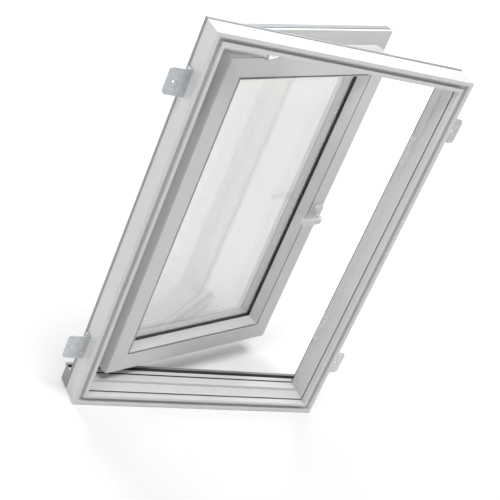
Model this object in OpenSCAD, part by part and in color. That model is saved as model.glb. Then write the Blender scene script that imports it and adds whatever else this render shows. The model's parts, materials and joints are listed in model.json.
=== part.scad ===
// Side-hung roof window with its frame, sash standing open.
// Seen from the room: +X to the right, +Y outward through the roof, +Z up the slope.
// The origin is the centre of the four bracket holes, in the plane of the roof battens.

/* [Frame] */
// Overall width of the frame
frame_w = 660; // [560:5:1000]
// Overall height of the frame, measured up the slope
frame_h = 980; // [900:5:1400]
// Width of a frame bar, from its outer side to the sash opening
bar_w = 42; // [40:0.5:50]
// Depth of the head and jambs, from the room face to the outer face
bar_depth = 67; // [62:0.5:74]
// Distance from the outer side to the edge that a room lining meets
lining_d = 27.5; // [25:0.5:29]
// How far the room face lies on the room side of the batten plane
room_depth = 36; // [30:0.5:38]
// Depth of the sill where its outer seal sits
sill_depth = 95; // [90:0.5:104]

/* [Sash] */
// Gap between a jamb and the sash edge
sash_gap = 11.5; // [11:0.1:14]
// Gap between the head or the sill and the sash edge
end_gap = 23; // [20:0.5:26]
// Depth of the sash's room face, from the room face of the frame
sash_face = 20.5; // [18:0.5:24]
// Width of the flat band on the sash's room face
band_w = 47.5; // [46:0.5:60]
// Radius of the sash's outer room edge
edge_r = 3; // [2:0.5:9]
// Height of the glazing bead
bead_h = 32; // [26:0.5:36]
// How far the bead slopes towards the glass
bead_run = 9.5; // [9:0.5:16]
// How far the sash stands open
open_angle = 20.5; // [0:0.5:60]
// How far the sash can open
max_open = 60; // [45:1:62]

/* [Glass] */
// Thickness of each pane
pane_t = 4; // [3:0.5:6]
// Width of the cavity between the panes
cavity_t = 20; // [12:0.5:24]

/* [Hinges] */
// Distance of the hinge axis from the frame's outer side
hinge_d = 18; // [16:0.5:20]
// Distance of each hinge from the nearer end of the frame
hinge_inset = 190; // [170:5:300]
// Radius of the hinge knuckles
knuckle_r = 8; // [7:0.25:9]
// Radius of the hinge pins
pin_r = 4; // [3:0.25:5]
// Length of one knuckle
knuckle_len = 44; // [30:1:60]

/* [Handle] */
// Height of the handle's spindle above the sash's lower edge
handle_h = 397; // [360:1:480]
// Distance of the spindle from the sash's edge
handle_e = 22; // [21:0.25:26]
// Length of the lever from the spindle to its tip
lever_len = 71; // [64:1:100]
// Height of the lever's middle above the sash's face
lever_lift = 27; // [24:0.5:40]

/* [Lock] */
// Gear module of the handle's pinion and the rack
gear_m = 1.5; // [1.25:0.05:1.6]
// Distance of each locking cam from the nearer end of the sash
cam_inset = 160; // [145:5:230]
// Radius of a locking cam
cam_r = 4; // [3:0.25:4.5]

/* [Stay] */
// Length of the stay arm, also its pivot's distance from the hinge axis
stay_len = 150; // [130:1:170]

/* [Brackets] */
// Length of a fixing bracket along the jamb
bracket_len = 64; // [50:1:90]
// Width of a bracket's foot on the batten
foot_w = 52; // [44:1:70]
// Distance of the bracket's hole from the frame's side
foot_hole_d = 35; // [25:1:38]
// Distance of the bracket holes from the nearer end of the frame
bracket_inset = 140; // [120:5:240]
// Radius of the bracket holes
foot_hole_r = 2.75; // [2.25:0.05:4]

/* [Hidden] */
$fn = 48;
// Overrun of every cut past the face that it leaves
over = 1;
// Clearance of parts that slide or turn in each other
run_gap = 0.25;
// Clearance of a screw in its hole
hole_gap = 0.05;
// A length past every piece, for trimming
beyond = frame_w + frame_h;
half_turn = 180;

// Frame section, measured from the outer side and from the room face
slot_d = 9;
slot_w = 11;
slot_depth = 11;
lip_depth = 16.5;
shadow_h = 3;
shadow_in = 8;
shadow_under = 8;
shadow_lip = 1.2;
slope_in = 1.5;
slope_out = 7;
step_h = 23;
step_depth = bar_depth - step_h;
seal_w = 6;
seal_wall = 2;
seal_d = bar_w - seal_wall - seal_w;
line_w = 4;
line_h = 4.5;
bulb_w = 8;
bulb_h = 11;
bulb_depth = sill_depth - bulb_h;
bulb_proud = 3;

// Sash section, measured from the sash edge and from the room face
sash_w = frame_w - 2 * (bar_w + sash_gap);
sash_h = frame_h - 2 * (bar_w + end_gap);
bead_gap = 4.5;
bead_seat = 7;
bead_e = band_w + bead_gap;
rebate_step = 0.5;
rebate_e = band_w + rebate_step;
sight_e = bead_e + bead_run;
bead_nose = 4;
bead_top = 1.2;
seal_t = 2;
lip_w = 3;
lip_t = 5;
unit_t = 2 * pane_t + cavity_t;
glass_in = sash_face + bead_h;
glass_out = glass_in + unit_t;
edge_gap = 4;
glass_e = rebate_e + edge_gap;
leg_t = 14;
leg_slope = 6;
leg_depth = glass_out + seal_t;
sash_back = leg_depth + leg_t;
flange_gap = 7;
flange_depth = bar_depth + flange_gap;
flange_lap = 15;
flange_w = end_gap + flange_lap;
hinge_lap = 10;
hinge_flange_w = sash_gap + hinge_lap;
sash_leaf_x = -sash_w / 2 - hinge_flange_w;
pane_w = sash_w - 2 * glass_e;
pane_h = sash_h - 2 * glass_e;
sealant_w = 5;
spacer_w = 7;
block_len = 60;

// Aluminium covers
clad_t = 1.5;
skirt = 7;
cover_w = 8;
nose_w = 5;
nose_h = 8;
wrap_h = 14;
apron_gap = 3;
apron_h = 36;
apron_depth = sill_depth + nose_h + apron_gap;
cover_e = sight_e - leg_slope;

// Hinges
leaf_t = 3;
leaf_w = 22;
leaf_rise = 8;
web_t = 8;
pin_cap_r = 7;
pin_cap_h = 3;
hinge_z = frame_h / 2 - hinge_inset;
hinge_x = hinge_d - frame_w / 2;
hinge_y = bar_depth + leaf_t + leaf_rise + knuckle_r;

// Screws
screw_r = 2;
screw_len = 16;
screw_head_r = 4;
screw_head_h = 2.4;
screw_inset = 9;

// Lock
groove_w = 16;
groove_in = 26;
groove_mid = sash_face + groove_in;
plate_t = 2.5;
plate_end = 60;
rod_gap = 1.5;
rod_t = 3.5;
rod_w = 10;
rod_end = 25;
rod_e = plate_t + rod_gap;
teeth = 15;
gear_t = 8;
pitch_r = gear_m * teeth / 2;
pitch_len = PI * gear_m;
travel = pitch_r * PI / 2;
backlash_share = 0.06;
tip_share = 0.8;
root_share = 1.25;
pressure = 20;
base_circle_r = pitch_r * cos(pressure);
tip_r = pitch_r + gear_m;
root_r = pitch_r - root_share * gear_m;
flank_steps = 4;
half_tooth = half_turn / 2 / teeth * (1 - backlash_share);
rack_teeth = 9;
rack_below = 6;
rack_e = handle_e - pitch_r;
groove_e = rack_e + gear_m;
hub_r = 6;
case_t = 2.5;
case_gap = 1;
case_half = 22;
case_low = rod_e + rod_t + run_gap;
case_back = handle_e + tip_r + case_gap + case_t;
case_in = gear_t / 2 + run_gap;
handle_z = handle_h - sash_h / 2;
cam_zs = [for (s = [-1, 1]) s * (sash_h / 2 - cam_inset) - handle_z];
plate_zs = [cam_zs[0] - plate_end, cam_zs[1] + plate_end];
cam_proud = 7;
keep_mid = (step_depth + bar_depth) / 2;
keep_rise = travel / 2;
keep_t = 2;
keep_len = 84;
keep_w = 21;
keep_lip_t = 3;
keep_lip_h = 5.5;
keep_lip_len = 22;
keep_gap = 0.6;

// Handle
base_w = 28;
base_h = 62;
base_r = 9;
base_t = 9;
base_step = 2;
neck_r = 8;
spindle_w = 7;
lever_t = 10;
lever_w = 13;
lever_r = 5.5;
bend_r = 16;
tip_bend_r = 24;
tip_turn = 35;
arc_steps = 10;
spindle_reach = lever_lift + lever_t / 2 - bend_r;

// Stay: the track points at the hinge axis, so the arm turns twice as far as the sash
track_tilt = 9.5;
pivot_tilt = 11.5;
stay_half = open_angle - track_tilt + pivot_tilt;
shoe_at = 2 * stay_len * cos(stay_half);
pivot_at = [hinge_x + stay_len * cos(pivot_tilt), hinge_y - stay_len * sin(pivot_tilt)];
arm_t = 3;
arm_w = 12;
arm_lift = 4;
arm_z = sash_h / 2 + arm_lift;
stud_r = 3;
rivet_r = 5;
rivet_h = 1.5;
track_w = 12;
track_depth = 8;
track_wall = 1.2;
shoe_w = 9;
shoe_h = 4.5;
shoe_len = 22;
track_near = 2 * stay_len * cos(max_open - track_tilt + pivot_tilt) - shoe_len;
track_far = 2 * stay_len + shoe_len / 2 + track_wall;
mount_t = 2.5;
mount_w = 20;
mount_len = 50;

// Brackets
bracket_z = frame_h / 2 - bracket_inset;
bracket_t = 2;
bracket_rise = 24;
foot_r = 10;

// Sides of a four-sided frame, seen from the room
LEFT = 0;
BOTTOM = 1;
RIGHT = 2;
TOP = 3;

function side_len(side, w, h) = side == LEFT || side == RIGHT ? h : w;

// Frame coordinates: Y is counted outward from the room face
module on_frame() {
    translate([0, -room_depth, 0]) children();
}

// Sash coordinates: the sash is drawn shut and swung open about the hinge axis
module on_sash() {
    on_frame() translate([hinge_x, hinge_y, 0]) rotate([0, 0, open_angle])
        translate([-hinge_x, -hinge_y, 0]) children();
}

// Puts a bar whose section lies in X and Y on one side of a w by h rectangle
module at_side(side, w, h) {
    if (side == LEFT) translate([-w / 2, 0, 0]) children();
    if (side == RIGHT) mirror([1, 0, 0]) translate([-w / 2, 0, 0]) children();
    if (side == BOTTOM) translate([0, 0, -h / 2]) rotate([0, -90, 0]) children();
    if (side == TOP) mirror([0, 0, 1]) translate([0, 0, -h / 2]) rotate([0, -90, 0]) children();
}

// A bar with mitred ends; its length is taken where the section's X is zero
module mitred_bar(length, from, to) {
    half = length / 2;
    intersection() {
        linear_extrude(length - 2 * from + 2 * over, center = true) children();
        rotate([90, 0, 0]) linear_extrude(beyond, center = true)
            polygon([[from, from - half], [to, to - half], [to, half - to], [from, half - from]]);
    }
}

// A box between two opposite corners
module box(low, high) {
    translate(low) cube(high - low);
}

// A flat frame of one section, from an inset of in_e to to_e around a w by h rectangle
module ring(w, h, in_e, to_e, low_y, high_y) {
    difference() {
        box([in_e - w / 2, low_y, in_e - h / 2], [w / 2 - in_e, high_y, h / 2 - in_e]);
        box([to_e - w / 2, low_y - over, to_e - h / 2], [w / 2 - to_e, high_y + over, h / 2 - to_e]);
    }
}

// A rounded rectangle around the origin
module rounded(w, h, r) {
    square([w, h - 2 * r], center = true);
    square([w - 2 * r, h], center = true);
    for (x = [-1, 1], y = [-1, 1]) translate([x * (w / 2 - r), y * (h / 2 - r)]) circle(r);
}

// A pan-head screw that enters along -Z
module screw() {
    rotate_extrude() polygon([
        [0, -screw_len], [screw_r / 2, -screw_len], [screw_r, -screw_len + screw_r], [screw_r, 0],
        [screw_head_r, 0], [screw_head_r, screw_head_h / 2], [screw_head_r / 2, screw_head_h],
        [0, screw_head_h]
    ]);
}

module screw_hole() {
    translate([0, 0, -screw_len - over]) cylinder(r = screw_r + hole_gap, h = screw_len + 2 * over);
}

// Frame section

// Room side of a frame bar: the lining's slot, its lip, and a shadow line cut under the slope
module room_side() {
    near = lip_depth + shadow_h;
    far = near + shadow_under;
    low = lining_d - shadow_in;
    under = lining_d + slope_in - shadow_lip;
    polygon([
        [0, 0], [slot_d, 0], [slot_d, slot_depth], [slot_d + slot_w, slot_depth],
        [slot_d + slot_w, 0], [lining_d, 0], [lining_d, lip_depth], [low, lip_depth], [low, far],
        [under, far], [under, near], [lining_d + slope_in, near], [lining_d + slope_out, step_depth],
        [bar_w, step_depth], [bar_w, bar_depth], [0, bar_depth]
    ]);
}

module jamb_section() {
    difference() {
        room_side();
        translate([seal_d, bar_depth - seal_w]) square([seal_w, seal_w + over]);
    }
}

module frame_bar(side) {
    at_side(side, frame_w, frame_h) mitred_bar(side_len(side, frame_w, frame_h), 0, bar_w)
        children();
}

// The sill's raised outer part, which runs over the ends of the jambs
module sill_block() {
    translate([0, 0, -frame_h / 2]) rotate([0, -90, 0]) linear_extrude(frame_w, center = true)
        polygon([
            [0, bar_depth], [bar_w - line_w, bar_depth], [bar_w - line_w, bar_depth + line_h],
            [bar_w, bar_depth + line_h], [bar_w, bulb_depth], [bar_w - bulb_w, bulb_depth],
            [bar_w - bulb_w, sill_depth], [0, sill_depth]
        ]);
}

// Everything that lies beside the sill's raised part
module above_sill() {
    difference() {
        children();
        box([-beyond, bar_depth - skirt, -beyond], [beyond, beyond, bar_w - frame_h / 2]);
    }
}

module bracket_screws(side) {
    for (z = [-bracket_z, bracket_z], s = [-1, 1])
        translate([side * (frame_w / 2 + bracket_t), room_depth + bracket_rise / 2 + bracket_t / 2,
            z + s * (bracket_len / 2 - screw_inset)])
            rotate([0, side * 90, 0]) children();
}

module frame_leaf_screws() {
    for (z = [-hinge_z, hinge_z], s = [-1, 1])
        translate([hinge_x, bar_depth + leaf_t, z + s * (knuckle_len - screw_inset) + leaf_skip(s)])
            rotate([-90, 0, 0]) children();
}

// The lower screw of a frame leaf sits below its knuckle
function leaf_skip(s) = s < 0 ? -2 * screw_inset : 0;

module at_keep_screws() {
    for (z = cam_zs, s = [-1, 1])
        translate([frame_w / 2 - bar_w - keep_t, keep_mid,
            handle_z + z + keep_rise + s * (keep_len / 2 - screw_inset)])
            rotate([0, -90, 0]) children();
}

module stay_mount_screws() {
    for (s = [-1, 1])
        translate([pivot_at[0] + s * (mount_len / 2 - screw_inset), pivot_at[1],
            frame_h / 2 - bar_w - mount_t])
            rotate([half_turn, 0, 0]) children();
}

module frame_head() {
    color("white") on_frame() difference() {
        frame_bar(TOP) jamb_section();
        stay_mount_screws() screw_hole();
    }
}

module frame_sill() {
    color("white") on_frame() {
        frame_bar(BOTTOM) room_side();
        sill_block();
    }
}

module frame_jamb_left() {
    color("white") on_frame() difference() {
        frame_bar(LEFT) jamb_section();
        bracket_screws(-1) screw_hole();
        frame_leaf_screws() screw_hole();
    }
}

module frame_jamb_right() {
    color("white") on_frame() difference() {
        frame_bar(RIGHT) jamb_section();
        bracket_screws(1) screw_hole();
        at_keep_screws() screw_hole();
    }
}

module frame_seal() {
    bulb_r = (flange_gap - run_gap) / 2;
    color([0.1, 0.1, 0.1]) on_frame() above_sill() for (side = [LEFT, TOP, RIGHT]) frame_bar(side) {
        translate([seal_d, bar_depth - seal_w]) square([seal_w, seal_w + bulb_r]);
        translate([seal_d + seal_w / 2, bar_depth + bulb_r]) circle(bulb_r);
    }
}

module sill_line_seal() {
    color([0.1, 0.1, 0.1]) on_frame() translate([0, 0, -frame_h / 2]) rotate([0, -90, 0])
        linear_extrude(frame_w - 2 * bar_w, center = true)
            translate([bar_w - line_w, bar_depth]) square([line_w, line_h]);
}

module sill_bulb_seal() {
    bulb_r = (sill_depth - bulb_depth) / 2;
    color([0.1, 0.1, 0.1]) on_frame() translate([0, 0, -frame_h / 2]) rotate([0, -90, 0])
        linear_extrude(frame_w, center = true) {
            translate([bar_w - bulb_w, bulb_depth]) square([bulb_w - bulb_r + bulb_proud, 2 * bulb_r]);
            translate([bar_w - bulb_r + bulb_proud, bulb_depth + bulb_r]) circle(bulb_r);
        }
}

// Frame covers

module cover_section() {
    polygon([
        [-clad_t, bar_depth - skirt], [0, bar_depth - skirt], [0, bar_depth], [cover_w, bar_depth],
        [cover_w, bar_depth + clad_t], [-clad_t, bar_depth + clad_t]
    ]);
}

module frame_cover(side) {
    color("silver") on_frame() above_sill() at_side(side, frame_w, frame_h)
        mitred_bar(side_len(side, frame_w, frame_h), -clad_t, cover_w) cover_section();
}

module head_cover() {
    frame_cover(TOP);
}

module jamb_cover_left() {
    frame_cover(LEFT);
}

module jamb_cover_right() {
    frame_cover(RIGHT);
}

module sill_cover() {
    end_x = frame_w / 2;
    low_z = -frame_h / 2;
    top_z = low_z + bar_w;
    color("silver") on_frame() {
        difference() {
            box([-end_x - clad_t, bar_depth - skirt, low_z - clad_t],
                [end_x + clad_t, sill_depth + clad_t, top_z]);
            box([-end_x, 0, low_z], [end_x, sill_depth, top_z + over]);
        }
        box([-end_x - clad_t, sill_depth + clad_t, top_z - nose_w],
            [end_x + clad_t, sill_depth + nose_h, top_z]);
    }
}

// Fixing brackets

module foot_outline() {
    translate([0, -bracket_len / 2]) square([foot_w - foot_r, bracket_len]);
    translate([0, foot_r - bracket_len / 2]) square([foot_w, bracket_len - 2 * foot_r]);
    for (s = [-1, 1]) translate([foot_w - foot_r, s * (bracket_len / 2 - foot_r)]) circle(foot_r);
}

module bracket(x_side, z_side) {
    color("silver") on_frame() translate([0, 0, z_side * bracket_z])
        mirror([x_side < 0 ? 1 : 0, 0, 0]) translate([frame_w / 2, room_depth, 0]) difference() {
            union() {
                box([0, 0, -bracket_len / 2], [bracket_t, bracket_rise, bracket_len / 2]);
                rotate([-90, 0, 0]) linear_extrude(bracket_t) foot_outline();
            }
            rotate([-90, 0, 0]) translate([foot_hole_d, 0, -over])
                cylinder(r = foot_hole_r, h = bracket_t + 2 * over);
            for (s = [-1, 1])
                translate([bracket_t, bracket_rise / 2 + bracket_t / 2,
                    s * (bracket_len / 2 - screw_inset)])
                    rotate([0, 90, 0]) screw_hole();
        }
}

module bracket_lower_left() {
    bracket(-1, -1);
}

module bracket_lower_right() {
    bracket(1, -1);
}

module bracket_upper_left() {
    bracket(-1, 1);
}

module bracket_upper_right() {
    bracket(1, 1);
}

module frame_screws() {
    color("gray") on_frame() {
        bracket_screws(-1) screw();
        bracket_screws(1) screw();
        frame_leaf_screws() screw();
        stay_mount_screws() screw();
    }
}

// Hinges

// Turns about the hinge axis at a height of z
module at_hinge(z) {
    translate([hinge_x, hinge_y, z]) children();
}

module frame_leaf(z) {
    low = -knuckle_len - 2 * screw_inset;
    edge_x = cover_w - hinge_d + run_gap;
    color("lightgray") on_frame() difference() {
        at_hinge(z) {
            box([edge_x, bar_depth - hinge_y, low],
                [leaf_w / 2, bar_depth - hinge_y + leaf_t, knuckle_len]);
            box([-web_t / 2, bar_depth - hinge_y, -knuckle_len], [web_t / 2, -pin_r, 0]);
            translate([0, 0, -knuckle_len]) cylinder(r = knuckle_r, h = knuckle_len);
        }
        at_hinge(z) translate([0, 0, -knuckle_len - over])
            cylinder(r = pin_r + hole_gap, h = knuckle_len + 2 * over);
        frame_leaf_screws() screw_hole();
    }
}

module hinge_pin(z) {
    color("gray") on_frame() at_hinge(z) {
        translate([0, 0, -knuckle_len]) cylinder(r = pin_r, h = 2 * knuckle_len);
        translate([0, 0, -knuckle_len - pin_cap_h]) cylinder(r = pin_cap_r, h = pin_cap_h);
    }
}

module sash_leaf_screws() {
    for (z = [-hinge_z, hinge_z], s = [1, 3])
        translate([sash_leaf_x - leaf_t, (flange_depth + sash_back) / 2,
            z + knuckle_len + s * screw_inset])
            rotate([0, -90, 0]) children();
}

module sash_leaf(z) {
    base = z + run_gap;
    top = z + knuckle_len;
    color("lightgray") on_sash() difference() {
        union() {
            box([sash_leaf_x - leaf_t, flange_depth, base],
                [sash_leaf_x, sash_back, top + 4 * screw_inset]);
            box([hinge_x + pin_r, hinge_y - web_t / 2, base],
                [sash_leaf_x, hinge_y + web_t / 2, top]);
            translate([hinge_x, hinge_y, base]) cylinder(r = knuckle_r, h = knuckle_len - run_gap);
        }
        translate([hinge_x, hinge_y, base - over])
            cylinder(r = pin_r + run_gap, h = knuckle_len + 2 * over);
        sash_leaf_screws() screw_hole();
    }
}

module lower_hinge_frame_leaf() {
    frame_leaf(-hinge_z);
}

module upper_hinge_frame_leaf() {
    frame_leaf(hinge_z);
}

module lower_hinge_pin() {
    hinge_pin(-hinge_z);
}

module upper_hinge_pin() {
    hinge_pin(hinge_z);
}

module lower_hinge_sash_leaf() {
    sash_leaf(-hinge_z);
}

module upper_hinge_sash_leaf() {
    sash_leaf(hinge_z);
}

// Keeps on the lock side's jamb: the lip catches the cam once the handle is turned down
module keep(z) {
    flat_x = frame_w / 2 - bar_w;
    mid_z = handle_z + z + keep_rise;
    lip_z = handle_z + z + travel + cam_r - keep_lip_len / 2;
    lip_y = groove_mid + cam_r + keep_gap;
    color("lightgray") on_frame() difference() {
        union() {
            box([flat_x - keep_t, keep_mid - keep_w / 2, mid_z - keep_len / 2],
                [flat_x, keep_mid + keep_w / 2, mid_z + keep_len / 2]);
            box([flat_x - keep_t - keep_lip_h, lip_y, lip_z],
                [flat_x, lip_y + keep_lip_t, lip_z + keep_lip_len]);
        }
        at_keep_screws() screw_hole();
    }
}

module lower_keep() {
    keep(cam_zs[0]);
}

module upper_keep() {
    keep(cam_zs[1]);
}

module keep_screws() {
    color("white") on_frame() at_keep_screws() screw();
}

// Stay

module stay_mount() {
    flat_z = frame_h / 2 - bar_w;
    color("lightgray") on_frame() difference() {
        translate([pivot_at[0], pivot_at[1], 0]) {
            box([-mount_len / 2, -mount_w / 2, flat_z - mount_t], [mount_len / 2, mount_w / 2, flat_z]);
            translate([0, 0, arm_z - run_gap - rivet_h]) cylinder(r = rivet_r, h = rivet_h);
            translate([0, 0, arm_z - run_gap]) cylinder(r = stud_r, h = flat_z - arm_z);
        }
        stay_mount_screws() screw_hole();
    }
}

// X runs along the stay's track from the hinge axis
module on_track() {
    on_sash() along_track() children();
}

module along_track() {
    translate([hinge_x, hinge_y, 0]) rotate([0, 0, -track_tilt]) children();
}

module track_slot() {
    along_track() box([track_near, -track_w / 2, sash_h / 2 - track_depth],
        [track_far, track_w / 2, sash_h / 2 + over]);
}

module stay_track() {
    top = sash_h / 2;
    color("silver") on_track() difference() {
        box([track_near, -track_w / 2, top - track_depth], [track_far, track_w / 2, top]);
        box([track_near + track_wall, track_wall - track_w / 2, top - track_depth + track_wall],
            [track_far - track_wall, track_w / 2 - track_wall, top - track_wall]);
        box([track_near + track_wall, -stud_r - run_gap, top - track_depth + track_wall],
            [track_far - track_wall, stud_r + run_gap, top + over]);
    }
}

module stay_arm() {
    turn = 2 * stay_half - pivot_tilt;
    color("lightgray") on_frame() translate([pivot_at[0], pivot_at[1], arm_z])
        rotate([0, 0, turn]) difference() {
        union() {
            cylinder(r = arm_w / 2, h = arm_t);
            translate([stay_len, 0, 0]) cylinder(r = arm_w / 2, h = arm_t);
            box([0, -arm_w / 2, 0], [stay_len, arm_w / 2, arm_t]);
        }
        for (x = [0, stay_len])
            translate([x, 0, -over]) cylinder(r = stud_r + run_gap, h = arm_t + 2 * over);
    }
}

module stay_shoe() {
    floor_z = sash_h / 2 - track_depth + track_wall + run_gap;
    color("dimgray") on_track() translate([shoe_at, 0, 0]) {
        box([-shoe_len / 2, -shoe_w / 2, floor_z], [shoe_len / 2, shoe_w / 2, floor_z + shoe_h]);
        translate([0, 0, floor_z])
            cylinder(r = stud_r, h = arm_z + arm_t + run_gap + rivet_h - floor_z);
        translate([0, 0, arm_z + arm_t + run_gap]) cylinder(r = rivet_r, h = rivet_h);
    }
}

// Sash section: lap is the width of the outer flange, or zero where the side has none
module sash_section(lap) {
    flange = [[-lap, sash_back], [-lap, flange_depth], [0, flange_depth]];
    outer = lap > 0 ? flange : [[0, sash_back]];
    difference() {
        polygon(concat([
            [0, sash_face], [band_w, sash_face], [band_w, sash_face + bead_seat],
            [rebate_e, sash_face + bead_seat], [rebate_e, leg_depth], [sight_e, leg_depth],
            [sight_e - leg_slope, sash_back]
        ], outer));
        translate([0, sash_face]) difference() {
            translate([-over, -over]) square(edge_r + over);
            translate([edge_r, edge_r]) circle(edge_r);
        }
    }
}

// Flanges stop at the sash's lower edge and at the hinge side's own flange
module trim_sash() {
    intersection() {
        children();
        box([sash_leaf_x, 0, -sash_h / 2], [beyond, beyond, beyond]);
    }
}

module sash_bar(side, lap) {
    trim_sash() at_side(side, sash_w, sash_h)
        mitred_bar(side_len(side, sash_w, sash_h), -lap, sight_e) sash_section(lap);
}

module sash_top_rail() {
    color("white") on_sash() difference() {
        sash_bar(TOP, flange_w);
        track_slot();
    }
}

module sash_bottom_rail() {
    color("white") on_sash() sash_bar(BOTTOM, 0);
}

module sash_hinge_stile() {
    color("white") on_sash() difference() {
        sash_bar(LEFT, hinge_flange_w);
        sash_leaf_screws() screw_hole();
    }
}

// Lock coordinates: X runs from the sash edge to the glass, Z is counted from the spindle
module at_lock() {
    translate([sash_w / 2, 0, handle_z]) mirror([1, 0, 0]) children();
}

module faceplate_screws() {
    for (z = [plate_zs[0] + screw_inset, plate_zs[1] - screw_inset])
        translate([0, groove_mid, z]) rotate([0, -90, 0]) children();
}

module sash_lock_stile() {
    color("white") on_sash() difference() {
        sash_bar(RIGHT, flange_w);
        at_lock() {
            box([-over, groove_mid - groove_w / 2, -sash_h],
                [groove_e, groove_mid + groove_w / 2, sash_h]);
            box([-over, groove_mid - groove_w / 2, -case_half - run_gap],
                [case_back + run_gap, groove_mid + groove_w / 2, case_half + run_gap]);
            translate([handle_e, sash_face - over, 0]) rotate([-90, 0, 0])
                cylinder(r = hub_r, h = groove_mid - sash_face);
            faceplate_screws() screw_hole();
        }
    }
}

// Glazing

module bead_section() {
    base = glass_in - seal_t;
    polygon([
        [bead_e, sash_face], [bead_e, sash_face + bead_seat], [rebate_e, sash_face + bead_seat],
        [rebate_e, base], [sight_e, base], [sight_e, base - bead_nose], [bead_e + bead_top, sash_face]
    ]);
}

module bead(side) {
    color("white") on_sash() at_side(side, sash_w, sash_h)
        mitred_bar(side_len(side, sash_w, sash_h), bead_e, sight_e) bead_section();
}

module top_bead() {
    bead(TOP);
}

module bottom_bead() {
    bead(BOTTOM);
}

module hinge_bead() {
    bead(LEFT);
}

module lock_bead() {
    bead(RIGHT);
}

module inner_glazing_seal() {
    color([0.1, 0.1, 0.1]) on_sash() {
        ring(sash_w, sash_h, glass_e, sight_e + lip_w, glass_in - seal_t, glass_in);
        ring(sash_w, sash_h, sight_e, sight_e + lip_w, glass_in - lip_t, glass_in);
    }
}

module outer_glazing_seal() {
    color([0.1, 0.1, 0.1]) on_sash() ring(sash_w, sash_h, glass_e, sight_e, glass_out, leg_depth);
}

module pane(y) {
    color([0.85, 0.9, 0.9, 0.4]) on_sash()
        box([-pane_w / 2, y, -pane_h / 2], [pane_w / 2, y + pane_t, pane_h / 2]);
}

module inner_pane() {
    pane(glass_in);
}

module outer_pane() {
    pane(glass_out - pane_t);
}

module spacer_bar() {
    color("silver") on_sash()
        ring(pane_w, pane_h, sealant_w, sealant_w + spacer_w, glass_in + pane_t, glass_out - pane_t);
}

module edge_sealant() {
    color("dimgray") on_sash() ring(pane_w, pane_h, 0, sealant_w, glass_in + pane_t, glass_out - pane_t);
}

module setting_blocks() {
    color("dimgray") on_sash() for (x = [-1, 1], z = [-1, 1])
        translate([x * (pane_w / 2 - block_len), (glass_in + glass_out) / 2,
            z * (pane_h / 2 + edge_gap / 2)])
            cube([block_len, unit_t, edge_gap], center = true);
}

// Sash covers

module sash_cover(side, lap) {
    color("silver") on_sash() trim_cover(side) at_side(side, sash_w, sash_h)
        mitred_bar(side_len(side, sash_w, sash_h), -lap - clad_t, cover_e) children();
}

// The hinge side's cover ends flush with its flange, and the side covers at the lower edge
module trim_cover(side) {
    low_z = side == BOTTOM ? -beyond : -sash_h / 2;
    intersection() {
        children();
        box([sash_leaf_x, 0, low_z], [beyond, beyond, beyond]);
    }
}

module wrapped_cover(lap) {
    polygon([
        [cover_e, sash_back], [cover_e, sash_back + clad_t], [-lap - clad_t, sash_back + clad_t],
        [-lap - clad_t, sash_back - wrap_h], [-lap, sash_back - wrap_h], [-lap, sash_back]
    ]);
}

module sash_top_cover() {
    sash_cover(TOP, flange_w) wrapped_cover(flange_w);
}

module sash_lock_cover() {
    sash_cover(RIGHT, flange_w) wrapped_cover(flange_w);
}

module sash_hinge_cover() {
    sash_cover(LEFT, hinge_flange_w) polygon([
        [cover_e, sash_back], [cover_e, sash_back + clad_t],
        [-hinge_flange_w, sash_back + clad_t], [-hinge_flange_w, sash_back]
    ]);
}

// The lower cover ends in an apron that hangs in front of the sill's nose
module sash_bottom_cover() {
    sash_cover(BOTTOM, apron_h) polygon([
        [cover_e, sash_back], [0, sash_back], [0, apron_depth], [-apron_h, apron_depth],
        [-apron_h, apron_depth + clad_t], [clad_t, apron_depth + clad_t],
        [clad_t, sash_back + clad_t], [cover_e, sash_back + clad_t]
    ]);
}

module sash_screws() {
    color("gray") on_sash() {
        sash_leaf_screws() screw();
        at_lock() faceplate_screws() screw();
    }
}

// Lock

module faceplate() {
    slot_r = cam_r + run_gap;
    half_w = groove_w / 2 - run_gap;
    color("lightgray") on_sash() at_lock() difference() {
        box([0, groove_mid - half_w, plate_zs[0]], [plate_t, groove_mid + half_w, plate_zs[1]]);
        for (z = cam_zs) translate([0, groove_mid, z]) {
            box([-over, -slot_r, 0], [plate_t + over, slot_r, travel]);
            for (rise = [0, travel]) translate([-over, 0, rise]) rotate([0, 90, 0])
                cylinder(r = slot_r, h = plate_t + 2 * over);
        }
        faceplate_screws() screw_hole();
    }
}

module gear_case() {
    half_w = groove_w / 2 - run_gap;
    teeth_e = rack_e + gear_m + case_gap;
    color("lightgray") on_sash() at_lock() difference() {
        box([case_low, groove_mid - half_w, -case_half], [case_back, groove_mid + half_w, case_half]);
        box([case_low - over, groove_mid - case_in, case_t - case_half],
            [case_back - case_t, groove_mid + case_in, case_half - case_t]);
        box([case_low - over, groove_mid - case_in, -case_half - over],
            [teeth_e, groove_mid + case_in, case_half + over]);
        translate([handle_e, groove_mid, 0]) rotate([90, 0, 0])
            cylinder(r = hub_r + run_gap, h = 2 * groove_w, center = true);
    }
}

// Involute gear teeth
function unwound(a) = tan(a) * half_turn / PI - a;
function involute(r) = unwound(acos(base_circle_r / r));
function flank(r) = half_tooth + involute(pitch_r) - involute(r);
function flank_r(i) = base_circle_r + (tip_r - base_circle_r) * i / flank_steps;
function polar(r, a) = [r * cos(a), r * sin(a)];

module pinion_outline() {
    polygon([for (t = [0 : teeth - 1]) let (mid = half_turn * (1 + 2 * t / teeth)) each concat(
        [polar(root_r, mid - flank(base_circle_r))],
        [for (i = [0 : flank_steps]) polar(flank_r(i), mid - flank(flank_r(i)))],
        [for (i = [flank_steps : -1 : 0]) polar(flank_r(i), mid + flank(flank_r(i)))],
        [polar(root_r, mid + flank(base_circle_r))]
    )]);
}

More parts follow.
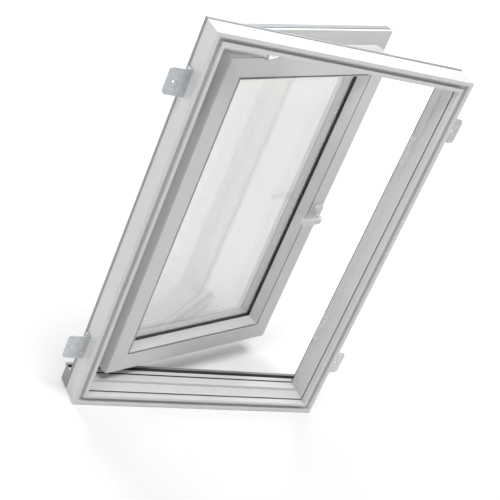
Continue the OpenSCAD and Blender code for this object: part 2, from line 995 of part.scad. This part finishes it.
module pinion() {
    half_w = groove_w / 2 - run_gap;
    color("gray") on_sash() at_lock() translate([handle_e, groove_mid, 0])
        rotate([90, 0, 0]) difference() {
        union() {
            linear_extrude(gear_t, center = true) pinion_outline();
            cylinder(r = hub_r, h = 2 * half_w, center = true);
        }
        cube([spindle_w, spindle_w, 2 * groove_w], center = true);
    }
}

module drive_bar() {
    half = pitch_len / 4 * (1 - backlash_share);
    tip = tip_share * gear_m;
    root = root_share * gear_m;
    slope = tan(pressure);
    color("lightgray") on_sash() at_lock() translate([0, groove_mid, 0]) {
        box([rod_e, -rod_w / 2, cam_zs[0] - rod_end], [rod_e + rod_t, rod_w / 2, cam_zs[1] + rod_end]);
        for (z = cam_zs) translate([-cam_proud, 0, z]) rotate([0, 90, 0])
            cylinder(r = cam_r, h = cam_proud + rod_e + rod_t / 2);
        rotate([90, 0, 0]) linear_extrude(gear_t, center = true) {
            translate([rod_e + rod_t / 2, -rack_below * pitch_len])
                square([rack_e - root - rod_e - rod_t / 2, rack_teeth * pitch_len]);
            for (t = [0 : rack_teeth - 1])
                translate([rack_e, (t - rack_below + 1 / 2) * pitch_len]) polygon([
                [-root - rod_t / 2, -half - root * slope], [-root, -half - root * slope],
                [tip, tip * slope - half], [tip, half - tip * slope], [-root, half + root * slope],
                [-root - rod_t / 2, half + root * slope]
            ]);
        }
    }
}

// Handle

module at_spindle() {
    at_lock() translate([handle_e, sash_face, 0]) children();
}

module handle_base() {
    color("white") on_sash() at_spindle() rotate([90, 0, 0]) difference() {
        union() {
            linear_extrude(base_t - base_step) rounded(base_w, base_h, base_r);
            linear_extrude(base_t)
                rounded(base_w - 2 * base_step, base_h - 2 * base_step, base_r - base_step);
        }
        translate([0, 0, -over]) cylinder(r = neck_r + run_gap, h = base_t + 2 * over);
    }
}

// Points along an arc; skip leaves out that many at each end
function arc(mid, r, from, to, skip = 0) = [
    for (i = [skip : arc_steps - skip]) mid + polar(r, from + (to - from) * i / arc_steps)
];

// Side view of the lever: X runs along it, Y away from the sash
module lever_side() {
    up = half_turn / 2;
    neck = [bend_r - lever_t / 2, spindle_reach];
    tip = [lever_len - lever_t / 2 - tip_bend_r * sin(tip_turn), lever_lift - tip_bend_r];
    tip_end = tip + polar(tip_bend_r, up - tip_turn);
    polygon(concat(
        [[-lever_t / 2, neck[1] - lever_t]],
        arc(neck, bend_r, half_turn, up),
        arc(tip, tip_bend_r + lever_t / 2, up, up - tip_turn),
        arc(tip_end, lever_t / 2, up - tip_turn, -up - tip_turn, 1),
        arc(tip, tip_bend_r - lever_t / 2, up - tip_turn, up),
        arc(neck, bend_r - lever_t, up, half_turn),
        [[lever_t / 2, neck[1] - lever_t]]
    ));
}

// Front view of the lever, with a rounded tip
module lever_front() {
    translate([lever_len / 2 - lever_t / 4, 0])
        rounded(lever_len + lever_t / 2 + 2 * over, lever_w, lever_r);
}

module handle_lever() {
    color("white") on_sash() at_spindle() difference() {
        union() {
            rotate([90, 0, 0]) translate([0, 0, run_gap]) cylinder(r = neck_r, h = spindle_reach);
            intersection() {
                rotate([half_turn, 0, 0]) linear_extrude(2 * lever_w, center = true) lever_side();
                rotate([90, 0, 0]) linear_extrude(beyond, center = true) lever_front();
            }
        }
        translate([-spindle_w / 2, -spindle_reach, -spindle_w / 2])
            cube([spindle_w, spindle_reach + over, spindle_w]);
    }
}

module handle_spindle() {
    inner = groove_mid - sash_face + groove_w / 2 - run_gap;
    color("gray") on_sash() at_spindle() translate([-spindle_w / 2, -spindle_reach, -spindle_w / 2])
        cube([spindle_w, spindle_reach + inner, spindle_w]);
}

frame_head();
frame_sill();
frame_jamb_left();
frame_jamb_right();
frame_seal();
sill_line_seal();
sill_bulb_seal();
head_cover();
sill_cover();
jamb_cover_left();
jamb_cover_right();
bracket_lower_left();
bracket_lower_right();
bracket_upper_left();
bracket_upper_right();
frame_screws();
lower_hinge_frame_leaf();
upper_hinge_frame_leaf();
lower_hinge_pin();
upper_hinge_pin();
lower_keep();
upper_keep();
keep_screws();
stay_mount();
sash_top_rail();
sash_bottom_rail();
sash_hinge_stile();
sash_lock_stile();
top_bead();
bottom_bead();
hinge_bead();
lock_bead();
inner_glazing_seal();
outer_glazing_seal();
inner_pane();
outer_pane();
spacer_bar();
edge_sealant();
setting_blocks();
sash_top_cover();
sash_bottom_cover();
sash_hinge_cover();
sash_lock_cover();
lower_hinge_sash_leaf();
upper_hinge_sash_leaf();
sash_screws();
stay_track();
faceplate();
gear_case();
handle_base();
handle_lever();
handle_spindle();
pinion();
drive_bar();
stay_arm();
stay_shoe();
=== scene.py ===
"""Looks of the side-hung roof window: finishes, edges, light and the camera of the photograph.

Every object is in metres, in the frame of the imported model: +X right seen from the room,
+Y outward through the roof, +Z up the slope.
"""

import json

import bpy
from mathutils import Matrix, Vector


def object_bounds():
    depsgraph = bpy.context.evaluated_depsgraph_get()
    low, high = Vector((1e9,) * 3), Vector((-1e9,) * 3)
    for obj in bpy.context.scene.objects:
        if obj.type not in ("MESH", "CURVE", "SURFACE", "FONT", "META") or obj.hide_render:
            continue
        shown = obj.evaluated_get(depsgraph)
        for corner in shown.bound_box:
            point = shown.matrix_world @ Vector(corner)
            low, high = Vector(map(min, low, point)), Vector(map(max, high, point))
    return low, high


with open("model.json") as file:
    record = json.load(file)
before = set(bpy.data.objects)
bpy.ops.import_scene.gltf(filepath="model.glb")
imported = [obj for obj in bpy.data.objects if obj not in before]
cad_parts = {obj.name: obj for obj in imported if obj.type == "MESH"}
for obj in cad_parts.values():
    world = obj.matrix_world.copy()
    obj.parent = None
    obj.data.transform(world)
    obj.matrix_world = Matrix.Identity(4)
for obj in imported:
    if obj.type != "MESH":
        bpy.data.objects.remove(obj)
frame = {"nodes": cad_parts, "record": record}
CAD_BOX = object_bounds()
NODES = frame["nodes"]
SLOT_OF = {part["node"]: part["material_slot"] for part in frame["record"]["subparts"]}

# Camera, fitted to the window's straight edges in the photograph
PHOTO_SIDE_PX = 500
FOCAL_PX = 1293.72
SENSOR_MM = 36.0
CAMERA_AT = (-1.52368, -2.18939, 1.35337)
CAMERA_RIGHT = (0.860306, -0.363182, 0.357733)
CAMERA_UP = (-0.093027, 0.578113, 0.810636)
CAMERA_BACK = (-0.501218, -0.730674, 0.463568)

# Radius of the soft edges on the solids, by material slot
EDGE_RADIUS = {"white_plastic": 0.0007, "cover_aluminium": 0.0004, "hardware_steel": 0.0003,
               "zinc_steel": 0.0003, "handle_white": 0.0012, "track_aluminium": 0.0003}
# Angle from which an edge is softened, in radians, and the facets across it
EDGE_ANGLE = 0.6
EDGE_FACETS = 2
# Distance within which doubled points of a mesh are joined before that
WELD_DISTANCE = 0.00001

# Colour that one face of the glass lets through, between its dimmest and clearest streaks
GLASS_TINT = ((0.913, 0.913, 0.908), (0.928, 0.928, 0.923))
GLASS_STREAK = (1, 1, 0.12)
# Share of light that one face of the glass mirrors, straight on and at a grazing angle
GLASS_MIRROR = (0.06, 0.75)
GLASS_MIRROR_COLOUR = (0.95, 0.97, 0.97, 1)
GLASS_MIRROR_ROUGHNESS = 0.01
# Power by which the mirrored share grows towards grazing angles
GLASS_FALLOFF = 4.0
# Share of the daylight that one face of the glass scatters, and its colour
GLASS_HAZE = 0.16
GLASS_HAZE_COLOUR = (0.97, 0.97, 0.96, 1)

# Side of the floor, the distances between which its own glow grows, and that glow
FLOOR_SIDE = 40
FLOOR_REACH = (2.0, 5.0)
FLOOR_GLOW = (0.09, 0.72)

# Even light from all sides
AMBIENT_COLOUR = (0.96, 0.98, 1.0, 1)
AMBIENT_STRENGTH = 0.12
# Round soft lamps: place, aim, diameter and power in watts
LAMPS = {
    "top": ((0.33, -1.2, 6.0), (0, 0, 0), 3.2, 252),
    "left": ((-3.2, -1.5, 4.6), (0, 0, 0), 2.6, 84),
    "sky_left": ((-0.6, 4.4, 2.6), (-0.3, 0.8, -0.3), 2.5, 118),
    "sky_right": ((2.4, 4.4, 2.6), (0.6, 0.8, -0.3), 2.5, 56),
}

# Grain that runs alike in every direction
EVEN = (1, 1, 1)

# Sockets of a colour mix, which share their names with the sockets of other mixes
MIX_FACTOR = 0
MIX_LOW = 6
MIX_HIGH = 7
MIX_RESULT = 2
# Sockets of a shader mix, for the shader that it starts from and the one that its factor brings in
SHADER_BASE = 1
SHADER_ADDED = 2


def new_material(name):
    """A new material and its Principled shader."""
    material = bpy.data.materials.new(name)
    material.use_nodes = True
    return material, material.node_tree.nodes["Principled BSDF"]


def add_node(material, kind, **settings):
    """Adds one shader node; settings name its inputs, or its own attributes."""
    node = material.node_tree.nodes.new(kind)
    for name, value in settings.items():
        if name in node.inputs:
            node.inputs[name].default_value = value
        else:
            setattr(node, name, value)
    return node


def link(material, source, target):
    """Joins an output socket to an input socket."""
    material.node_tree.links.new(source, target)


def object_space(material, stretch=EVEN):
    """Object coordinates, stretched to give a grain a direction."""
    place = add_node(material, "ShaderNodeTexCoord")
    mapping = add_node(material, "ShaderNodeMapping", Scale=stretch)
    link(material, place.outputs["Object"], mapping.inputs["Vector"])
    return mapping.outputs["Vector"]


def noise(material, scale, detail=3.0, stretch=EVEN):
    """Cloudy noise from 0 to 1; scale counts its features in a metre."""
    texture = add_node(material, "ShaderNodeTexNoise", Scale=scale, Detail=detail)
    link(material, object_space(material, stretch), texture.inputs["Vector"])
    return texture.outputs["Fac"]


def spread(material, factor, low, high, start=0.0, end=1.0):
    """A number that goes from low to high as the factor goes from start to end."""
    limits = {"From Min": start, "From Max": end, "To Min": low, "To Max": high}
    span = add_node(material, "ShaderNodeMapRange", **limits)
    link(material, factor, span.inputs["Value"])
    return span.outputs["Result"]


def between(material, factor, low, high, target):
    """Drives a number or a colour from low to high by a texture's factor."""
    if not isinstance(low, tuple):
        link(material, spread(material, factor, low, high), target)
        return
    mix = add_node(material, "ShaderNodeMix", data_type="RGBA")
    mix.inputs[MIX_LOW].default_value = (*low, 1)
    mix.inputs[MIX_HIGH].default_value = (*high, 1)
    link(material, factor, mix.inputs[MIX_FACTOR])
    link(material, mix.outputs[MIX_RESULT], target)


def bump(material, shader, height, strength, distance):
    """Fine relief on the shader's surface."""
    relief = add_node(material, "ShaderNodeBump", Strength=strength, Distance=distance)
    link(material, height, relief.inputs["Height"])
    link(material, relief.outputs["Normal"], shader.inputs["Normal"])


def white_plastic():
    """Satin extruded window plastic: nearly even white with a faint skin."""
    material, shader = new_material("white_plastic")
    shader.inputs["IOR"].default_value = 1.5
    shader.inputs["Specular IOR Level"].default_value = 0.45
    between(material, noise(material, scale=6, detail=2), (0.745, 0.745, 0.735), (0.785, 0.785, 0.775),
            shader.inputs["Base Color"])
    between(material, noise(material, scale=40, detail=4), 0.3, 0.42, shader.inputs["Roughness"])
    bump(material, shader, noise(material, scale=900, detail=2), strength=0.05, distance=0.0004)
    return material


def black_rubber():
    """Extruded seal rubber, dull black with a fine skin."""
    material, shader = new_material("black_rubber")
    between(material, noise(material, scale=60), (0.012, 0.012, 0.013), (0.03, 0.03, 0.031),
            shader.inputs["Base Color"])
    between(material, noise(material, scale=200), 0.5, 0.7, shader.inputs["Roughness"])
    bump(material, shader, noise(material, scale=1500), strength=0.2, distance=0.0003)
    return material


def clear_glass():
    """One face of glass in daylight: a pale haze, and a mirror film that grows at grazing angles."""
    material, shader = new_material("glass")
    nodes = material.node_tree.nodes
    nodes.remove(shader)
    clear = add_node(material, "ShaderNodeBsdfTransparent")
    between(material, noise(material, scale=5, stretch=GLASS_STREAK), *GLASS_TINT, clear.inputs["Color"])
    scatter = add_node(material, "ShaderNodeBsdfTranslucent", Color=GLASS_HAZE_COLOUR)
    body = add_node(material, "ShaderNodeMixShader", Fac=GLASS_HAZE)
    link(material, clear.outputs["BSDF"], body.inputs[SHADER_BASE])
    link(material, scatter.outputs["BSDF"], body.inputs[SHADER_ADDED])
    facing = add_node(material, "ShaderNodeLayerWeight", Blend=0.5)
    steep = add_node(material, "ShaderNodeMath", operation="POWER")
    steep.inputs[1].default_value = GLASS_FALLOFF
    link(material, facing.outputs["Facing"], steep.inputs[0])
    mirror = add_node(material, "ShaderNodeBsdfGlossy", Color=GLASS_MIRROR_COLOUR,
                      Roughness=GLASS_MIRROR_ROUGHNESS)
    sheet = add_node(material, "ShaderNodeMixShader")
    link(material, spread(material, steep.outputs["Value"], *GLASS_MIRROR), sheet.inputs["Fac"])
    link(material, body.outputs["Shader"], sheet.inputs[SHADER_BASE])
    link(material, mirror.outputs["BSDF"], sheet.inputs[SHADER_ADDED])
    link(material, sheet.outputs["Shader"], nodes["Material Output"].inputs["Surface"])
    return material


def coated_aluminium():
    """Grey coil-coated sheet with a fine matt grain."""
    material, shader = new_material("cover_aluminium")
    shader.inputs["Metallic"].default_value = 0.35
    between(material, noise(material, scale=12), (0.30, 0.32, 0.34), (0.36, 0.38, 0.40),
            shader.inputs["Base Color"])
    between(material, noise(material, scale=120, detail=4), 0.38, 0.52, shader.inputs["Roughness"])
    bump(material, shader, noise(material, scale=2200, detail=2), strength=0.12, distance=0.0002)
    return material


def brushed_metal(name, low, high, stretch):
    """Bare metal with a drawn grain along the axis that stretch makes slow."""
    material, shader = new_material(name)
    shader.inputs["Metallic"].default_value = 1.0
    grain = noise(material, scale=300, stretch=stretch)
    between(material, grain, low, high, shader.inputs["Base Color"])
    between(material, grain, 0.28, 0.45, shader.inputs["Roughness"])
    bump(material, shader, grain, strength=0.1, distance=0.0002)
    return material


def galvanised():
    """Zinc-coated sheet with its crystal spangle."""
    material, shader = new_material("zinc_steel")
    shader.inputs["Metallic"].default_value = 1.0
    spangle = add_node(material, "ShaderNodeTexVoronoi", Scale=160)
    link(material, object_space(material), spangle.inputs["Vector"])
    between(material, spangle.outputs["Color"], (0.50, 0.52, 0.54), (0.66, 0.68, 0.70),
            shader.inputs["Base Color"])
    between(material, spangle.outputs["Color"], 0.32, 0.5, shader.inputs["Roughness"])
    bump(material, shader, noise(material, scale=500), strength=0.08, distance=0.0002)
    return material


def painted_handle():
    """White powder paint with a soft gloss and a faint orange peel."""
    material, shader = new_material("handle_white")
    shader.inputs["Coat Weight"].default_value = 0.25
    shader.inputs["Coat Roughness"].default_value = 0.2
    between(material, noise(material, scale=20, detail=2), (0.78, 0.78, 0.77), (0.83, 0.83, 0.82),
            shader.inputs["Base Color"])
    between(material, noise(material, scale=90), 0.28, 0.38, shader.inputs["Roughness"])
    bump(material, shader, noise(material, scale=700, detail=2), strength=0.08, distance=0.0003)
    return material


def dull_plastic(name, low, high):
    """Moulded plastic, sealant or grey seal with a matt skin."""
    material, shader = new_material(name)
    between(material, noise(material, scale=80), low, high, shader.inputs["Base Color"])
    between(material, noise(material, scale=160), 0.5, 0.68, shader.inputs["Roughness"])
    bump(material, shader, noise(material, scale=900), strength=0.15, distance=0.0003)
    return material


MATERIALS = {
    "white_plastic": white_plastic(),
    "black_rubber": black_rubber(),
    "glass": clear_glass(),
    "cover_aluminium": coated_aluminium(),
    "track_aluminium": brushed_metal("track_aluminium", (0.62, 0.63, 0.64), (0.76, 0.77, 0.78),
                                     stretch=(0.05, 1, 1)),
    "hardware_steel": brushed_metal("hardware_steel", (0.5, 0.51, 0.52), (0.66, 0.67, 0.68),
                                    stretch=(1, 1, 0.06)),
    "zinc_steel": galvanised(),
    "handle_white": painted_handle(),
    "spacer": dull_plastic("spacer", (0.82, 0.82, 0.81), (0.86, 0.86, 0.85)),
    "sealant": dull_plastic("sealant", (0.6, 0.6, 0.6), (0.66, 0.66, 0.66)),
    "grey_rubber": dull_plastic("grey_rubber", (0.62, 0.62, 0.62), (0.68, 0.68, 0.68)),
    "block_plastic": dull_plastic("block_plastic", (0.05, 0.05, 0.055), (0.09, 0.09, 0.095)),
    "shoe_plastic": dull_plastic("shoe_plastic", (0.03, 0.03, 0.032), (0.07, 0.07, 0.072)),
}


def soften_edges(piece, radius):
    """Rounds the sharp edges of a solid as it is shown."""
    weld = piece.modifiers.new("weld", "WELD")
    weld.merge_threshold = WELD_DISTANCE
    edge = piece.modifiers.new("edges", "BEVEL")
    edge.width = radius
    edge.segments = EDGE_FACETS
    edge.limit_method = "ANGLE"
    edge.angle_limit = EDGE_ANGLE
    edge.harden_normals = True


def dress(name, piece):
    """Gives a solid its finish and soft edges."""
    slot = SLOT_OF[name]
    piece.data.materials.clear()
    piece.data.materials.append(MATERIALS[slot])
    if slot in EDGE_RADIUS:
        soften_edges(piece, EDGE_RADIUS[slot])


def floor():
    """A plain pale floor under the frame, kept pale beyond the lamps' reach."""
    low = CAD_BOX[0][2]
    bpy.ops.mesh.primitive_plane_add(size=FLOOR_SIDE, location=(0, 0, low))
    plane = bpy.context.object
    plane.name = "floor"
    material, shader = new_material("floor")
    between(material, noise(material, scale=3, detail=2), (0.90, 0.90, 0.90), (0.93, 0.93, 0.93),
            shader.inputs["Base Color"])
    shader.inputs["Roughness"].default_value = 0.9
    shader.inputs["Emission Color"].default_value = (1, 1, 1, 1)
    reach = add_node(material, "ShaderNodeVectorMath", operation="LENGTH")
    link(material, object_space(material), reach.inputs[0])
    glow = spread(material, reach.outputs["Value"], *FLOOR_GLOW, *FLOOR_REACH)
    link(material, glow, shader.inputs["Emission Strength"])
    plane.data.materials.append(material)


def area_light(name, place, aim, size, power):
    """A round soft lamp at place that points at aim."""
    data = bpy.data.lights.new(name, "AREA")
    data.shape = "DISK"
    data.size = size
    data.energy = power
    lamp = bpy.data.objects.new(name, data)
    bpy.context.collection.objects.link(lamp)
    lamp.location = place
    lamp.rotation_euler = (Vector(aim) - Vector(place)).to_track_quat("-Z", "Y").to_euler()


def studio():
    """Soft light from above, broad light from outside, and a dim room side."""
    world = bpy.data.worlds.new("studio")
    bpy.context.scene.world = world
    world.use_nodes = True
    backdrop = world.node_tree.nodes["Background"]
    backdrop.inputs["Color"].default_value = AMBIENT_COLOUR
    backdrop.inputs["Strength"].default_value = AMBIENT_STRENGTH
    for name, settings in LAMPS.items():
        area_light(name, *settings)
    bpy.context.scene.view_settings.view_transform = "Standard"


def camera():
    """The photograph's camera."""
    data = bpy.data.cameras.new("camera")
    data.sensor_width = SENSOR_MM
    data.lens = SENSOR_MM * FOCAL_PX / PHOTO_SIDE_PX
    eye = bpy.data.objects.new("camera", data)
    bpy.context.collection.objects.link(eye)
    turn = Matrix((CAMERA_RIGHT, CAMERA_UP, CAMERA_BACK)).transposed()
    eye.matrix_world = Matrix.Translation(CAMERA_AT) @ turn.to_4x4()
    bpy.context.scene.camera = eye


for node_name, node_piece in NODES.items():
    dress(node_name, node_piece)
floor()
studio()
camera()
